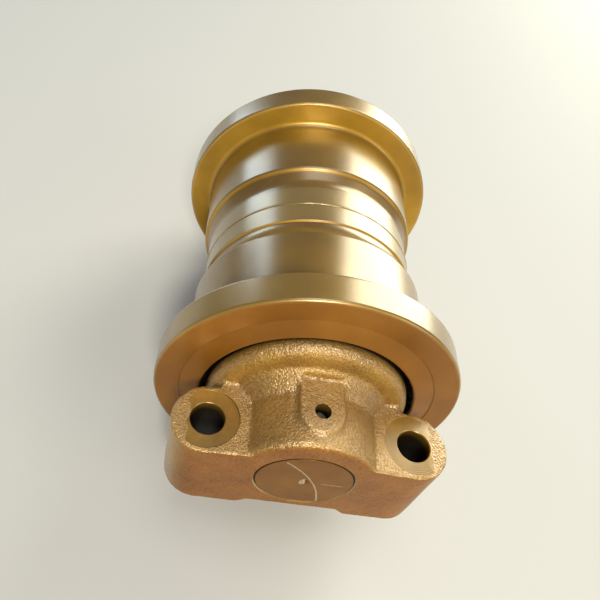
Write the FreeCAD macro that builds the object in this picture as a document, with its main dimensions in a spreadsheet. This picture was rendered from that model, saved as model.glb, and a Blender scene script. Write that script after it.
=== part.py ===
import FreeCAD, Part
import math
import os

import Sketcher
from FreeCAD import Placement, Rotation, Vector

# Double-flange track roller for a crawler undercarriage, in millimetres.
# Row frame: origin on the shaft axis at mid length, +Y along the shaft, +Z up.
# The mounting pads face down and the bolt-head seats face up.
# Every side piece is drawn on the rear side (y > 0). Its front twin is the same
# piece turned half a turn about Z, as the real parts are interchangeable.

SIZES = {
    # shaft
    "shaft_radius": 25.0,
    "shaft_half": 135.7,
    "shaft_chamfer": 0.8,
    "shaft_waist_radius": 23.5,
    "shaft_waist_half": 14.0,
    "shaft_waist_chamfer": 1.5,
    "oil_drill_radius": 3.0,
    "oil_cross_radius": 2.5,
    "plug_radius": 6.0,
    "plug_length": 11.0,
    "plug_recess": 0.6,
    "plug_socket": 6.0,
    "hexagon_corner": 0.57735,
    "hexagon_half_side": 0.288675,
    "plug_socket_depth": 5.0,
    "centre_mark_radius": 2.5,
    "centre_mark_depth": 2.2,
    # shell, half sizes along the axis
    "weld_half": 1.0,
    "weld_radius": 63.75,
    "weld_crown_half": 0.4,
    "weld_curl_radius": 31.5,
    "weld_curl_half": 0.5,
    "band_radius": 63.5,
    "band_half": 14.0,
    "groove_radius": 62.5,
    "groove_start": 14.6,
    "groove_end": 19.0,
    "groove_lip_radius": 65.4,
    "groove_lip": 26.0,
    "groove_blend": 8.0,
    "tread_start": 27.2,
    "tread_radius": 67.5,
    "tread_blend": 3.0,
    "flange_start": 70.5,
    "flange_radius": 82.5,
    "flange_end": 88.5,
    "flange_chamfer": 1.5,
    "land_radius": 69.0,
    "land_step": 0.4,
    "mouth_end": 91.0,
    "mouth_radius": 57.5,
    "mouth_lip": 1.0,
    "mouth_floor": 75.5,
    "reservoir_radius": 33.5,
    "reservoir_half": 16.0,
    # bimetal bush
    "bush_bore": 25.05,
    "bush_radius": 29.0,
    "bush_start": 17.0,
    "bush_shoulder": 62.0,
    "bush_end": 66.0,
    "bush_flange_radius": 36.0,
    "bush_flange_room": 0.3,
    # floating face seal
    "seal_plane": 77.0,
    "seal_film": 0.025,
    "seal_bore": 34.5,
    "seal_lip_radius": 42.5,
    "seal_lip": 3.0,
    "seal_back": 9.5,
    "seal_floor": 10.5,
    "ramp_radius": 38.0,
    "ramp_front_reach": 3.4,
    "ramp_back_reach": 3.1,
    "ramp_slope": 0.2126,
    "seat_radius": 44.6,
    "seat_front_reach": 4.9,
    "seat_back_reach": 4.1,
    "toric_offset": 6.4,
    "toric_radius": 41.3,
    "toric_section": 3.2,
    # collar
    "nose_start": 66.1,
    "nose_radius": 33.0,
    "collar_bore": 25.05,
    "collar_face": 78.5,
    "hub_radius": 54.5,
    "hub_end": 97.0,
    "hub_blend": 6.5,
    "end_face": 136.0,
    "bore_chamfer": 0.8,
    "bolt_x": 52.0,
    "bolt_y": 118.0,
    "bolt_radius": 8.5,
    "spot_radius": 15.75,
    "spot_depth": 2.0,
    "lug_radius": 18.0,
    "lug_top": 20.0,
    "lug_tip": 17.6,
    "slope_start": 33.0,
    "lug_blend": 2.5,
    "mount_z": 34.0,
    "relief_z": 30.4,
    "relief_half": 24.0,
    "relief_mouth_half": 32.0,
    "relief_start": 98.5,
    "web_half": 47.0,
    "web_start": 92.0,
    "web_end": 104.0,
    "web_top": 19.6,
    "saddle_radius": 37.0,
    "saddle_start": 90.0,
    "saddle_blend": 3.5,
    "flare_rise": 6.5,
    "flare_length": 10.0,
    "boss_half": 11.0,
    "boss_start": 95.0,
    "boss_y": 117.5,
    "notch_start": 99.5,
    "boss_top": 38.5,
    "boss_draft": 6.0,
    "pin_hole_radius": 4.0,
    "pin_hole_floor": 5.0,
    "pin_radius": 3.95,
    "pin_top": 31.0,
    "pin_chamfer": 0.6,
    # shaft seal ring
    "ring_y": 104.0,
    "ring_groove_half": 2.2,
    "ring_groove_radius": 21.6,
    "ring_radius": 23.3,
    "ring_section": 1.65,
    # how far a cutting outline runs past the metal
    "overrun": 1.0,
}

SIDES = {"rear": 1, "front": -1}
HANDS = {"right": "+", "left": "-"}

# radii of the conical seats for the rubber rings, at the open end and at the floor
SEAT_FRONT = "seat_radius+ramp_slope*seat_front_reach"
SEAT_BACK = "seat_radius-ramp_slope*seat_back_reach"

# two lengths closer than this count as the same, and a smaller cut as none
NEAR = 0.05
LEAST_CUT = 1.0

doc = FreeCAD.newDocument("track_roller")
sheet = doc.addObject("Spreadsheet::Sheet", "Sizes")
for row, (alias, value) in enumerate(SIZES.items(), start=1):
    sheet.set(f"A{row}", alias)
    sheet.set(f"B{row}", str(value))
    sheet.setAlias(f"B{row}", alias)
doc.recompute()


def bound(text):
    """Turns the size words of a formula into references to the sheet."""
    parts = []
    word = ""
    for letter in text + " ":
        if letter.isalnum() or letter in "_.":
            word += letter
            continue
        parts.append(f"Sizes.{word}" if word in SIZES else word)
        parts.append(letter)
        word = ""
    return "".join(parts).strip()


def size(text):
    """The value of a formula in the sheet's size words."""
    total = 0.0
    for sign, product in terms(text):
        value = sign
        for factor in product.split("*"):
            value *= SIZES[factor] if factor in SIZES else float(factor)
        total += value
    return total


def terms(text):
    """Splits a formula of + and - into signed products."""
    spaced = text.replace(" ", "").replace("-", "+-")
    found = []
    for product in spaced.split("+"):
        if product:
            sign = -1 if product.startswith("-") else 1
            found.append((sign, product.lstrip("-")))
    return found


def side_placement(side):
    """The rear side as drawn, or turned half a turn about Z for the front."""
    angle = 0 if SIDES[side] > 0 else 180
    return Placement(Vector(0, 0, 0), Rotation(Vector(0, 0, 1), angle))


def new_body(label, side="rear"):
    body = doc.addObject("PartDesign::Body", label)
    body.Label = label
    body.Placement = side_placement(side)
    return body


def new_sketch(body, name, plane, offset="0"):
    """A sketch on one of the body's own planes, moved along the plane's normal."""
    sketch = body.newObject("Sketcher::SketchObject", f"{body.Name}_{name}")
    origin = [f for f in body.Origin.OriginFeatures if f.Role == plane][0]
    sketch.AttachmentSupport = [(origin, "")]
    sketch.MapMode = "FlatFace"
    sketch.setExpression("AttachmentOffset.Base.z", bound(offset))
    return sketch


def fix_point(sketch, geometry, end, x, y):
    """Ties a point of the sketch to two formulas, measured from the origin."""
    for kind, formula in (("DistanceX", x), ("DistanceY", y)):
        value = size(formula)
        index = sketch.addConstraint(Sketcher.Constraint(kind, -1, 1, geometry, end, value))
        sketch.renameConstraint(index, f"{kind}_{geometry}_{end}")
        sketch.setExpression(f"Constraints.{kind}_{geometry}_{end}", bound(formula))


def draw_outline(sketch, corners):
    """A closed outline through corners (x, y). Where a corner has a radius too,
    the outline goes on to the next corner by an arc that turns left."""
    points = [Vector(size(c[0]), size(c[1]), 0) for c in corners]
    count = len(corners)
    for i, corner in enumerate(corners):
        start, end = points[i], points[(i + 1) % count]
        if len(corner) == 2:
            sketch.addGeometry(Part.LineSegment(start, end))
            continue
        radius = size(corner[2])
        half = (end - start) * 0.5
        rise = math.sqrt(radius ** 2 - half.Length ** 2)
        left = Vector(-half.y, half.x, 0).normalize()
        centre = start + half + left * rise
        middle = centre - left * radius
        sketch.addGeometry(Part.Arc(start, middle, end))
    for i, corner in enumerate(corners):
        following = (i + 1) % count
        # an arc that turns left starts at end 1, as a line does
        sketch.addConstraint(Sketcher.Constraint("Coincident", i, 2, following, 1))
        fix_point(sketch, i, 1, corner[0], corner[1])
        if len(corner) == 3:
            index = sketch.addConstraint(Sketcher.Constraint("Radius", i, size(corner[2])))
            sketch.renameConstraint(index, f"Radius_{i}")
            sketch.setExpression(f"Constraints.Radius_{i}", bound(corner[2]))


def draw_circle(sketch, x, y, radius):
    index = sketch.addGeometry(Part.Circle(Vector(size(x), size(y), 0), Vector(0, 0, 1), size(radius)))
    fix_point(sketch, index, 3, x, y)
    constraint = sketch.addConstraint(Sketcher.Constraint("Radius", index, size(radius)))
    sketch.renameConstraint(constraint, f"Radius_{index}")
    sketch.setExpression(f"Constraints.Radius_{index}", bound(radius))


def revolve(body, name, corners, turn=360):
    """Turns a (distance along Y, radius) outline round the shaft axis, evenly
    to both sides of the upper half of the YZ plane."""
    sketch = new_sketch(body, f"{name}_outline", "YZ_Plane")
    draw_outline(sketch, corners)
    feature = body.newObject("PartDesign::Revolution", f"{body.Name}_{name}")
    feature.Profile = sketch
    feature.ReferenceAxis = (sketch, ["H_Axis"])
    feature.Angle = turn
    feature.Midplane = turn < 360
    doc.recompute()
    return feature


def groove(body, name, corners):
    """Cuts a turned outline out of the body and checks that metal went."""
    before = body.Shape.Volume
    sketch = new_sketch(body, f"{name}_outline", "YZ_Plane")
    draw_outline(sketch, corners)
    feature = body.newObject("PartDesign::Groove", f"{body.Name}_{name}")
    feature.Profile = sketch
    feature.ReferenceAxis = (sketch, ["H_Axis"])
    feature.Angle = 360
    doc.recompute()
    must_cut(body, name, before)


def pad(body, name, sketch, length, reverse=False, draft=None):
    feature = body.newObject("PartDesign::Pad", f"{body.Name}_{name}")
    feature.Profile = sketch
    feature.setExpression("Length", bound(length))
    feature.Reversed = reverse
    if draft:
        feature.setExpression("TaperAngle", bound(draft))
    doc.recompute()
    return feature


def pocket(body, name, sketch, length, reverse=False):
    """A pocket whose direction is checked by the metal that it takes away."""
    before = body.Shape.Volume
    feature = body.newObject("PartDesign::Pocket", f"{body.Name}_{name}")
    feature.Profile = sketch
    feature.Type = 0
    feature.setExpression("Length", bound(length))
    feature.Reversed = reverse
    doc.recompute()
    must_cut(body, name, before)
    return feature


def must_cut(body, name, before):
    if before - body.Shape.Volume < LEAST_CUT:
        raise RuntimeError(f"{body.Label}: {name} removes nothing")


def edges_where(feature, test):
    """Names of the feature's edges whose middle point passes the test."""
    found = []
    for number, edge in enumerate(feature.Shape.Edges, start=1):
        middle = edge.valueAt((edge.FirstParameter + edge.LastParameter) / 2)
        if test(edge, middle):
            found.append(f"Edge{number}")
    return found


def is_ring(radius, distance):
    """Picks circles about the shaft axis by radius and distance along Y."""
    def test(edge, middle):
        curve = edge.Curve
        if not isinstance(curve, Part.Circle):
            return False
        same_radius = abs(curve.Radius - size(radius)) < NEAR
        return same_radius and abs(curve.Center.y - size(distance)) < NEAR
    return test


def fillet(body, name, base, edges, radius):
    if not edges:
        raise RuntimeError(f"{body.Label}: {name} found no edge")
    feature = body.newObject("PartDesign::Fillet", f"{body.Name}_{name}")
    feature.Base = (base, edges)
    feature.setExpression("Radius", bound(radius))
    doc.recompute()
    return feature


def make_shell_half(side):
    """One forged and turned half: centre band, groove, tread, flange and seal seat."""
    body = new_body(f"shell_half_{side}", side)
    turned = revolve(body, "turned", [
        ("weld_half", "reservoir_radius"),
        ("reservoir_half", "reservoir_radius"),
        ("reservoir_half", "bush_radius"),
        ("bush_shoulder", "bush_radius"),
        ("bush_shoulder", "bush_flange_radius+bush_flange_room"),
        ("seal_plane-seal_floor", "bush_flange_radius+bush_flange_room"),
        ("seal_plane-seal_floor", SEAT_BACK),
        ("mouth_floor", SEAT_FRONT),
        ("mouth_floor", "mouth_radius"),
        ("mouth_end-mouth_lip", "mouth_radius"),
        ("mouth_end", "mouth_radius+mouth_lip"),
        ("flange_end-land_step", "land_radius-land_step"),
        ("flange_end", "land_radius"),
        ("flange_end", "flange_radius-flange_chamfer"),
        ("flange_end-flange_chamfer", "flange_radius"),
        ("flange_start+flange_chamfer", "flange_radius"),
        ("flange_start", "flange_radius-flange_chamfer"),
        ("flange_start", "tread_radius"),
        ("tread_start", "tread_radius"),
        ("groove_lip", "groove_lip_radius"),
        ("groove_end", "groove_radius"),
        ("groove_start", "groove_radius"),
        ("band_half", "band_radius"),
        ("weld_half", "band_radius"),
    ])
    root = edges_where(turned, is_ring("tread_radius", "flange_start"))
    rounded = fillet(body, "tread_root", turned, root, "tread_blend")
    bottom = edges_where(rounded, is_ring("groove_radius", "groove_end"))
    fillet(body, "groove_bottom", rounded, bottom, "groove_blend")
    return body


def make_weld_seam():
    """The friction weld: a low bead on the band and a curl in the oil space."""
    body = new_body("weld_seam")
    revolve(body, "bead", [
        ("-weld_half", "reservoir_radius"),
        ("-weld_curl_half", "weld_curl_radius"),
        ("weld_curl_half", "weld_curl_radius"),
        ("weld_half", "reservoir_radius"),
        ("weld_half", "band_radius"),
        ("weld_crown_half", "weld_radius"),
        ("-weld_crown_half", "weld_radius"),
        ("-weld_half", "band_radius"),
    ])
    return body


def make_bush(side):
    """A flanged bimetal bush, pressed into the shell half."""
    body = new_body(f"bush_{side}", side)
    revolve(body, "sleeve", [
        ("bush_start", "bush_bore"),
        ("bush_end", "bush_bore"),
        ("bush_end", "bush_flange_radius"),
        ("bush_shoulder", "bush_flange_radius"),
        ("bush_shoulder", "bush_radius"),
        ("bush_start", "bush_radius"),
    ])
    return body


def make_seal_ring(label, side, away):
    """One hard ring of a face seal. away is + for the collar's, - for the shell's."""
    body = new_body(label, side)
    ramp_back = "ramp_radius-ramp_slope*ramp_back_reach"
    ramp_front = "ramp_radius+ramp_slope*ramp_front_reach"
    revolve(body, "ring", [
        (f"seal_plane{away}seal_film", "seal_bore"),
        (f"seal_plane{away}seal_film", "seal_lip_radius"),
        (f"seal_plane{away}seal_lip", "seal_lip_radius"),
        (f"seal_plane{away}seal_lip", ramp_front),
        (f"seal_plane{away}seal_back", ramp_back),
        (f"seal_plane{away}seal_back", "seal_bore"),
    ])
    return body


def make_ring(label, side, distance, radius, section):
    """A rubber ring of round section about the shaft axis."""
    ring = doc.addObject("Part::Torus", label)
    ring.Label = label
    ring.setExpression("Radius1", bound(radius))
    ring.setExpression("Radius2", bound(section))
    lying = Rotation(Vector(1, 0, 0), 90)
    ring.Placement = Placement(Vector(0, SIDES[side] * size(distance), 0), lying)
    return ring


def make_shaft():
    """Plain shaft with an oil waist, two ring grooves, pin holes and oil drillings."""
    body = new_body("shaft")
    revolve(body, "bar", [
        ("-shaft_half", "0"),
        ("shaft_half", "0"),
        ("shaft_half", "shaft_radius-shaft_chamfer"),
        ("shaft_half-shaft_chamfer", "shaft_radius"),
        ("shaft_waist_half", "shaft_radius"),
        ("shaft_waist_half-shaft_waist_chamfer", "shaft_waist_radius"),
        ("-shaft_waist_half+shaft_waist_chamfer", "shaft_waist_radius"),
        ("-shaft_waist_half", "shaft_radius"),
        ("-shaft_half+shaft_chamfer", "shaft_radius"),
        ("-shaft_half", "shaft_radius-shaft_chamfer"),
    ])
    for side, sign in SIDES.items():
        low = "ring_y-ring_groove_half" if sign > 0 else "-ring_y-ring_groove_half"
        high = "ring_y+ring_groove_half" if sign > 0 else "-ring_y+ring_groove_half"
        groove(body, f"ring_groove_{side}", [
            (low, "ring_groove_radius"),
            (high, "ring_groove_radius"),
            (high, "shaft_radius+overrun"),
            (low, "shaft_radius+overrun"),
        ])
    for side, sign in SIDES.items():
        hole = new_sketch(body, f"pin_hole_{side}", "XY_Plane", "pin_hole_floor")
        draw_circle(hole, "0", "boss_y" if sign > 0 else "-boss_y", "pin_hole_radius")
        pocket(body, f"pin_drill_{side}", hole, "shaft_radius", reverse=True)
    cross = new_sketch(body, "cross_hole", "XY_Plane")
    draw_circle(cross, "0", "0", "oil_cross_radius")
    pocket(body, "cross_drill", cross, "shaft_radius", reverse=True)
    axial = new_sketch(body, "oil_hole", "XZ_Plane")
    draw_circle(axial, "0", "0", "oil_drill_radius")
    pocket(body, "oil_drill", axial, "shaft_half")
    mouth = new_sketch(body, "plug_hole", "XZ_Plane", "-shaft_half")
    draw_circle(mouth, "0", "0", "plug_radius")
    pocket(body, "plug_bore", mouth, "plug_length+plug_recess", reverse=True)
    groove(body, "centre_mark", [
        ("-shaft_half-overrun", "0"),
        ("-shaft_half+centre_mark_depth", "0"),
        ("-shaft_half", "centre_mark_radius"),
        ("-shaft_half-overrun", "centre_mark_radius"),
    ])
    return body


def make_oil_plug():
    """Screwed plug with a hexagon socket, in the rear end of the shaft."""
    body = new_body("oil_plug")
    revolve(body, "stem", [
        ("shaft_half-plug_recess-plug_length", "0"),
        ("shaft_half-plug_recess", "0"),
        ("shaft_half-plug_recess", "plug_radius-pin_chamfer"),
        ("shaft_half-plug_recess-pin_chamfer", "plug_radius"),
        ("shaft_half-plug_recess-plug_length", "plug_radius"),
    ])
    hexagon = new_sketch(body, "socket_outline", "XZ_Plane", "-shaft_half+plug_recess")
    corner = "plug_socket*hexagon_corner"
    half_side = "plug_socket*hexagon_half_side"
    draw_outline(hexagon, [
        (corner, "0"),
        (half_side, "plug_socket*0.5"),
        (f"-{half_side}", "plug_socket*0.5"),
        (f"-{corner}", "0"),
        (f"-{half_side}", "-plug_socket*0.5"),
        (half_side, "-plug_socket*0.5"),
    ])
    pocket(body, "socket", hexagon, "plug_socket_depth", reverse=True)
    return body


def make_lock_pin(side):
    """Dowel through the collar's boss into the shaft."""
    body = new_body(f"lock_pin_{side}", side)
    outline = new_sketch(body, "section", "XY_Plane", "pin_hole_floor")
    draw_circle(outline, "0", "boss_y", "pin_radius")
    stem = pad(body, "stem", outline, "pin_top-pin_hole_floor")
    tops = edges_where(stem, lambda edge, middle: isinstance(edge.Curve, Part.Circle))
    chamfer = body.newObject("PartDesign::Chamfer", f"{body.Name}_ends")
    chamfer.Base = (stem, tops)
    chamfer.setExpression("Size", bound("pin_chamfer"))
    doc.recompute()
    return body


def make_collar(side):
    """Cast end collar: bolt lugs, hub with seal seat, saddle and lock-pin boss."""
    body = new_body(f"collar_{side}", side)
    add_lug_block(body)
    add_hub(body)
    add_saddle(body)
    add_pin_boss(body)
    cut_underside(body)
    cut_shaft_bore(body)
    cut_bolt_holes(body)
    return body


def add_lug_block(body):
    """The block that carries both bolts, round-ended in plan, and its web to the hub."""
    plan = new_sketch(body, "lug_plan", "XY_Plane", "-mount_z")
    draw_outline(plan, [
        ("-bolt_x", "bolt_y-lug_radius"),
        ("bolt_x", "bolt_y-lug_radius", "lug_radius"),
        ("bolt_x+lug_radius", "bolt_y", "lug_radius"),
        ("bolt_x", "bolt_y+lug_radius"),
        ("-bolt_x", "bolt_y+lug_radius", "lug_radius"),
        ("-bolt_x-lug_radius", "bolt_y", "lug_radius"),
    ])
    pad(body, "lug_block", plan, "mount_z+lug_top")
    for hand, sign in HANDS.items():
        slope = new_sketch(body, f"slope_{hand}", "XZ_Plane", "-relief_start")
        draw_outline(slope, [
            (f"{sign}slope_start", "lug_top"),
            (f"{sign}bolt_x{sign}lug_radius", "lug_tip"),
            (f"{sign}bolt_x{sign}lug_radius", "lug_top"),
        ])
        sloped = pocket(body, f"slope_cut_{hand}", slope, "end_face-relief_start+overrun")
    fillet(body, "lug_round", sloped, edges_where(sloped, is_lug_rim), "lug_blend")
    web = new_sketch(body, "web_plan", "XY_Plane", "-mount_z")
    draw_outline(web, [
        ("-web_half", "web_start"),
        ("web_half", "web_start"),
        ("web_half", "web_end"),
        ("-web_half", "web_end"),
    ])
    pad(body, "web", web, "mount_z+web_top")


def is_lug_rim(edge, middle):
    """Picks the block's upper edges, along its straight sides and round its ends."""
    if middle.z < size("lug_tip-lug_blend"):
        return False
    reach = size("lug_radius")
    beyond_hole = max(abs(middle.x) - size("bolt_x"), 0)
    return abs(math.hypot(beyond_hole, middle.y - size("bolt_y")) - reach) < NEAR


def add_hub(body):
    """The turned hub: thrust nose, conical seal seat and rounded outer edge."""
    revolve(body, "hub", [
        ("nose_start", "collar_bore"),
        ("web_end", "collar_bore"),
        ("web_end", "nose_radius"),
        ("hub_end", "nose_radius"),
        ("hub_end", "hub_radius-hub_blend", "hub_blend"),
        ("hub_end-hub_blend", "hub_radius"),
        ("collar_face", "hub_radius"),
        ("collar_face", SEAT_FRONT),
        ("seal_plane+seal_floor", SEAT_BACK),
        ("seal_plane+seal_floor", "nose_radius"),
        ("nose_start", "nose_radius"),
    ])


def add_saddle(body):
    """The half-round saddle over the shaft, rounded at the end face and flared
    where it meets the hub."""
    revolve(body, "saddle", [
        ("saddle_start", "collar_bore"),
        ("end_face", "collar_bore"),
        ("end_face", "saddle_radius-saddle_blend", "saddle_blend"),
        ("end_face-saddle_blend", "saddle_radius"),
        ("hub_end+flare_length", "saddle_radius"),
        ("hub_end", "saddle_radius+flare_rise"),
        ("saddle_start", "saddle_radius+flare_rise"),
    ], turn=180)


def add_pin_boss(body):
    """Flat U-shaped boss for the lock pin, notched back into the saddle's flare."""
    plan = new_sketch(body, "boss_plan", "XY_Plane", "boss_top")
    draw_outline(plan, [
        ("-boss_half", "boss_start"),
        ("boss_half", "boss_start"),
        ("boss_half", "boss_y", "boss_half"),
        ("0", "boss_y+boss_half", "boss_half"),
        ("-boss_half", "boss_y"),
    ])
    pad(body, "boss", plan, "boss_top-lug_top", reverse=True, draft="boss_draft")
    notch = new_sketch(body, "notch_plan", "XY_Plane", "boss_top")
    draw_outline(notch, [
        ("-boss_half", "notch_start"),
        ("boss_half", "notch_start"),
        ("boss_half", "boss_y"),
        ("-boss_half", "boss_y"),
    ])
    pocket(body, "notch", notch, "boss_top", reverse=True)
    hole = new_sketch(body, "pin_plan", "XY_Plane", "boss_top")
    draw_circle(hole, "0", "boss_y", "pin_hole_radius")
    pocket(body, "pin_hole", hole, "boss_top-lug_top")


def cut_underside(body):
    """Shallow channel between the two machined mounting pads."""
    channel = new_sketch(body, "relief_end", "XZ_Plane", "-relief_start")
    draw_outline(channel, [
        ("-relief_mouth_half", "-mount_z-overrun"),
        ("relief_mouth_half", "-mount_z-overrun"),
        ("relief_mouth_half", "-mount_z"),
        ("relief_half", "-relief_z"),
        ("-relief_half", "-relief_z"),
        ("-relief_mouth_half", "-mount_z"),
    ])
    pocket(body, "relief", channel, "end_face-relief_start+overrun")


def cut_shaft_bore(body):
    """The shaft's seat, bored through saddle and block, chamfered at the end face."""
    groove(body, "shaft_bore", [
        ("nose_start+overrun", "0"),
        ("end_face+overrun", "0"),
        ("end_face+overrun", "collar_bore+bore_chamfer+overrun"),
        ("end_face-bore_chamfer", "collar_bore"),
        ("nose_start+overrun", "collar_bore"),
    ])


def cut_bolt_holes(body):
    """Two bolt holes with spot faces, drilled down through the lugs."""
    centres = new_sketch(body, "bolt_centres", "XY_Plane", "lug_top")
    draw_circle(centres, "bolt_x", "bolt_y", "bolt_radius")
    draw_circle(centres, "-bolt_x", "bolt_y", "bolt_radius")
    doc.recompute()
    before = body.Shape.Volume
    holes = body.newObject("PartDesign::Hole", f"{body.Name}_bolt_holes")
    holes.Profile = centres
    doc.recompute()
    holes.DepthType = "ThroughAll"
    holes.Threaded = False
    holes.HoleCutType = "Counterbore"
    holes.HoleCutCustomValues = True
    holes.setExpression("Diameter", bound("bolt_radius*2"))
    holes.setExpression("HoleCutDiameter", bound("spot_radius*2"))
    holes.setExpression("HoleCutDepth", bound("spot_depth"))
    doc.recompute()
    must_cut(body, "bolt_holes", before)


def make_roller():
    pieces = [make_weld_seam(), make_shaft(), make_oil_plug()]
    for side in SIDES:
        pieces.append(make_shell_half(side))
        pieces.append(make_bush(side))
        pieces.append(make_collar(side))
        pieces.append(make_lock_pin(side))
        pieces.append(make_seal_ring(f"seal_ring_shell_{side}", side, "-"))
        pieces.append(make_seal_ring(f"seal_ring_collar_{side}", side, "+"))
        near, far = "seal_plane-toric_offset", "seal_plane+toric_offset"
        pieces.append(make_ring(f"toric_shell_{side}", side, near, "toric_radius", "toric_section"))
        pieces.append(make_ring(f"toric_collar_{side}", side, far, "toric_radius", "toric_section"))
        pieces.append(make_ring(f"shaft_ring_{side}", side, "ring_y", "ring_radius", "ring_section"))
    doc.recompute()
    return pieces


def check_document(pieces):
    for item in doc.Objects:
        if "Invalid" in item.State or "Error" in item.State:
            raise RuntimeError(f"{item.Label} failed: {item.State}")
    for piece in pieces:
        if piece.Shape.isNull() or not piece.Shape.isValid():
            raise RuntimeError(f"{piece.Label} has no valid shape")


def export(pieces):
    os.makedirs("parts", exist_ok=True)
    for piece in pieces:
        piece.Shape.exportStep(f"parts/{piece.Label}.step")
        box = piece.Shape.BoundBox
        print(f"{piece.Label}: {len(piece.Shape.Solids)} solid, {piece.Shape.Volume / 1000:.1f} cm3, "
              f"y {box.YMin:.1f} to {box.YMax:.1f}, z {box.ZMin:.1f} to {box.ZMax:.1f}")


roller = make_roller()
check_document(roller)
export(roller)
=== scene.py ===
import math

import bpy
from mathutils import Matrix, Vector


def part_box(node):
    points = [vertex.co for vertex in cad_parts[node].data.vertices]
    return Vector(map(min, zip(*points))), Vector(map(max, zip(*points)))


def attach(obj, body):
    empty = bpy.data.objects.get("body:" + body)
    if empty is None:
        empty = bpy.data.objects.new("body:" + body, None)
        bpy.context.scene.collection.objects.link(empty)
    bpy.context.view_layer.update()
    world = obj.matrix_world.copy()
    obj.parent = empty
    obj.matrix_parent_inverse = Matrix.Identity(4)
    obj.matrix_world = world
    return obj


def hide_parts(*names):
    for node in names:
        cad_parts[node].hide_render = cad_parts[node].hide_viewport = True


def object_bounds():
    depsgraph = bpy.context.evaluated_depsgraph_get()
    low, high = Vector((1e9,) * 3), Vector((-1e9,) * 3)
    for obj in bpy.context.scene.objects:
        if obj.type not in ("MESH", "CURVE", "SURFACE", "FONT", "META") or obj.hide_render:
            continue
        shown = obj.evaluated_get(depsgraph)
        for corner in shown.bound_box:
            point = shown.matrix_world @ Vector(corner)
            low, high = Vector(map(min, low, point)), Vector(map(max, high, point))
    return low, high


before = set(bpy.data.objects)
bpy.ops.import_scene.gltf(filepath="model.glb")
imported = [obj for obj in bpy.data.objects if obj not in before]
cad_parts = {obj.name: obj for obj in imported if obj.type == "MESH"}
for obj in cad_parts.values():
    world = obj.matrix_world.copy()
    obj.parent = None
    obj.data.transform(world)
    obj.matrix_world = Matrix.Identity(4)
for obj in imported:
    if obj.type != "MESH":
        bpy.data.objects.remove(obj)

# Double-flange track roller. All lengths are in metres: +Y along the shaft, +Z up.
cadLow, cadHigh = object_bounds()
near = 0.00002  # two places closer than this are the same
quarterTurn = math.pi / 2


# small tools for working on one piece at a time

def clearSelection():
    if bpy.context.mode != "OBJECT":
        bpy.ops.object.mode_set(mode="OBJECT")
    bpy.ops.object.select_all(action="DESELECT")


def makeActive(piece):
    clearSelection()
    piece.select_set(True)
    bpy.context.view_layer.objects.active = piece


def applyPlace(piece):
    makeActive(piece)
    bpy.ops.object.transform_apply(location=True, rotation=True, scale=True)


def applyModifier(piece, kind, **settings):
    makeActive(piece)
    modifier = piece.modifiers.new(kind, kind)
    for key, value in settings.items():
        setattr(modifier, key, value)
    bpy.ops.object.modifier_apply(modifier=modifier.name)


def selectPoints(piece, test):
    # leaves the piece in edit mode with the points that pass the test selected
    makeActive(piece)
    bpy.ops.object.mode_set(mode="EDIT")
    bpy.ops.mesh.select_mode(type="VERT")
    bpy.ops.mesh.select_all(action="DESELECT")
    bpy.ops.object.mode_set(mode="OBJECT")
    for point in piece.data.vertices:
        point.select = test(point.co)
    bpy.ops.object.mode_set(mode="EDIT")


def joinPieces(pieces, name):
    clearSelection()
    for piece in pieces:
        piece.select_set(True)
    bpy.context.view_layer.objects.active = pieces[0]
    bpy.ops.object.join()
    joined = bpy.context.object
    joined.name = name
    return joined


def removePiece(piece):
    mesh = piece.data
    bpy.data.objects.remove(piece)
    bpy.data.meshes.remove(mesh)


def addBlock(low, high):
    clearSelection()
    middle = (Vector(low) + Vector(high)) / 2
    bpy.ops.mesh.primitive_cube_add(size=1, location=middle, scale=Vector(high) - Vector(low))
    block = bpy.context.object
    applyPlace(block)
    return block


def addRound(axis, place, radius, depth, segments):
    # a closed cylinder along Y or Z about the given middle
    clearSelection()
    turn = (quarterTurn, 0, 0) if axis == "Y" else (0, 0, 0)
    bpy.ops.mesh.primitive_cylinder_add(vertices=segments, radius=radius, depth=depth,
                                        location=place, rotation=turn)
    piece = bpy.context.object
    applyPlace(piece)
    return piece


def turnRing(name, outline, segments):
    # a closed ring about Y: one circle, extruded through every (y, radius) and back to the first
    clearSelection()
    lastY, lastRadius = outline[0]
    bpy.ops.mesh.primitive_circle_add(vertices=segments, radius=lastRadius, fill_type="NOTHING",
                                      location=(0, lastY, 0), rotation=(quarterTurn, 0, 0))
    ring = bpy.context.object
    ring.name = name
    applyPlace(ring)
    bpy.ops.object.mode_set(mode="EDIT")
    bpy.ops.mesh.select_all(action="SELECT")
    for y, radius in outline[1:] + outline[:1]:
        bpy.ops.mesh.extrude_region_move(TRANSFORM_OT_translate={"value": (0, y - lastY, 0)})
        grow = radius / lastRadius
        bpy.ops.transform.resize(value=(grow, 1, grow), center_override=(0, y, 0))
        lastY, lastRadius = y, radius
    bpy.ops.mesh.select_all(action="SELECT")
    bpy.ops.mesh.remove_doubles(threshold=near)
    bpy.ops.mesh.normals_make_consistent(inside=False)
    bpy.ops.object.mode_set(mode="OBJECT")
    return ring


def roundRing(piece, y, radius, width, segments):
    # bevels the circle of edges at one (y, radius)
    def onRing(co):
        return abs(co.y - y) < near and abs(math.hypot(co.x, co.z) - radius) < near
    selectPoints(piece, onRing)
    bpy.ops.mesh.bevel(offset=width, segments=segments, profile=0.5)
    bpy.ops.object.mode_set(mode="OBJECT")


def smoothFaces(piece, degrees):
    makeActive(piece)
    bpy.ops.object.shade_smooth_by_angle(angle=math.radians(degrees))


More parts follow.
